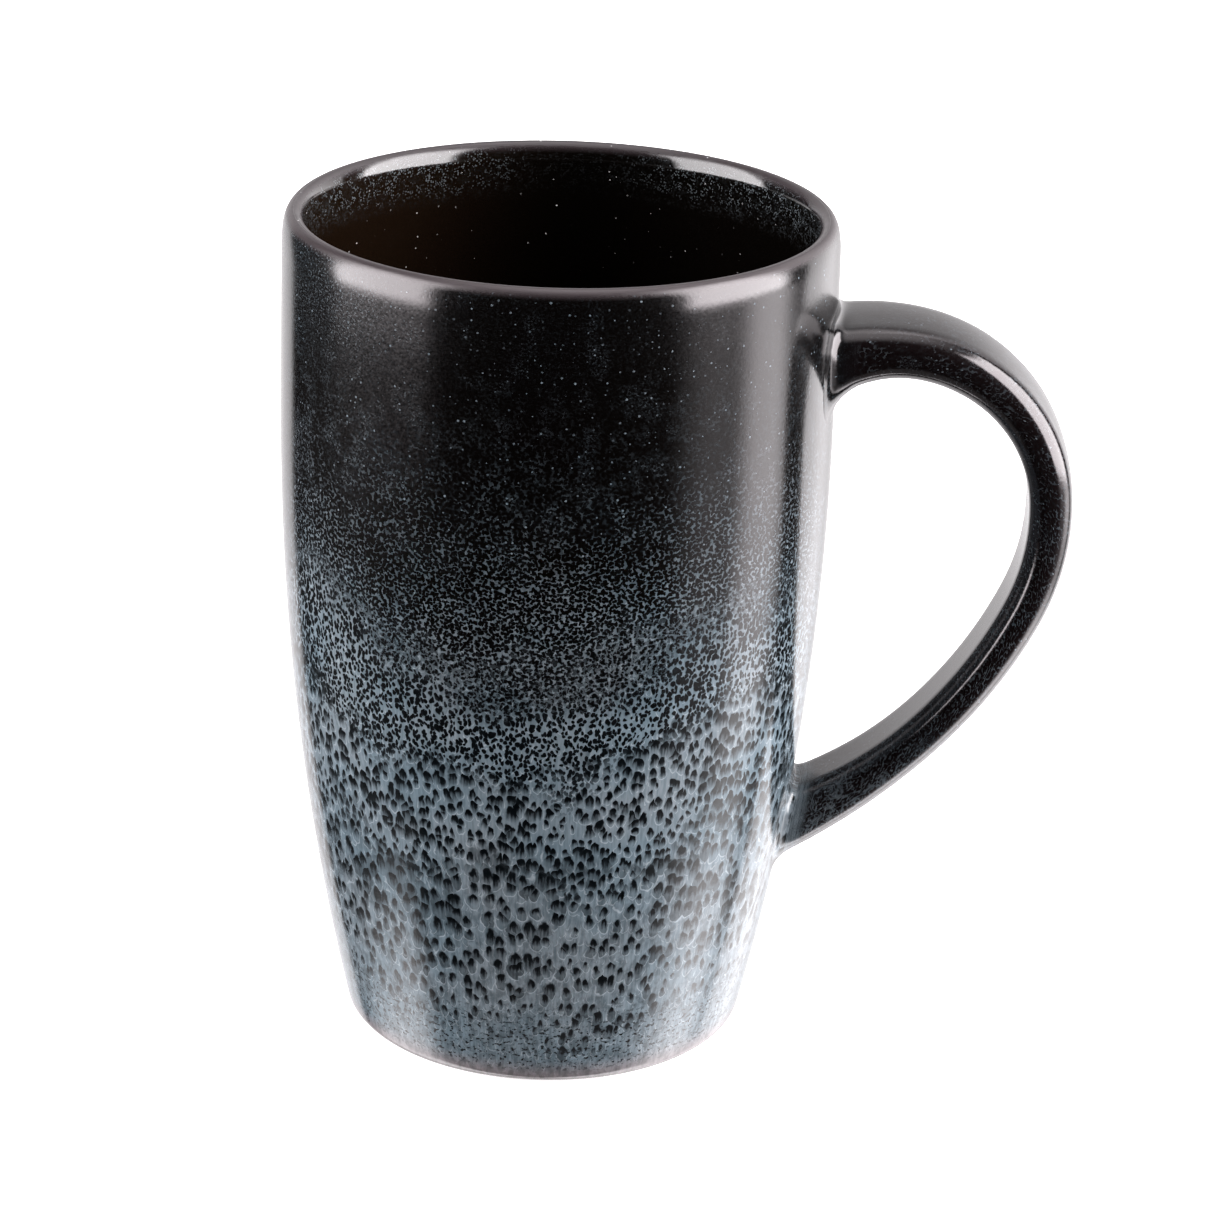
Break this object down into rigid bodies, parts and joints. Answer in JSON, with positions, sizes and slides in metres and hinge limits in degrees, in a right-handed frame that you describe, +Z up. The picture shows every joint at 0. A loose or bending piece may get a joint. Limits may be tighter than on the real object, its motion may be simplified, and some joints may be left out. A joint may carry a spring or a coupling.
{
  "type": "mug",
  "caption": "Tall glazed ceramic mug with a rounded lip, a gently bellied wall that narrows to a foot ring, and a looped strap handle bonded on with slip.",
  "frame": {"origin": "centre of the foot ring on the plane the mug stands on", "axes": "+Z up along the axis of the cup, +X towards the handle, Y across the handle"},
  "size_m": [0.1154, 0.0804, 0.1256],
  "materials": {
    "bare_clay": "matt, fine grained, unglazed at the foot ring",
    "handle_clay": "matt, covered by glaze",
    "slip": "matt, covered by glaze",
    "liner_glaze": "gloss, dark brown-black with sparse pale specks",
    "outer_glaze": "gloss, near-black running into pale blue-grey towards the foot"
  },
  "bodies": {
    "root": {"cup_body": "bare_clay", "handle": "handle_clay", "upper_slip_joint": "slip", "lower_slip_joint": "slip", "liner_glaze": "liner_glaze", "outer_glaze": "outer_glaze"}
  },
  "joints": []
}
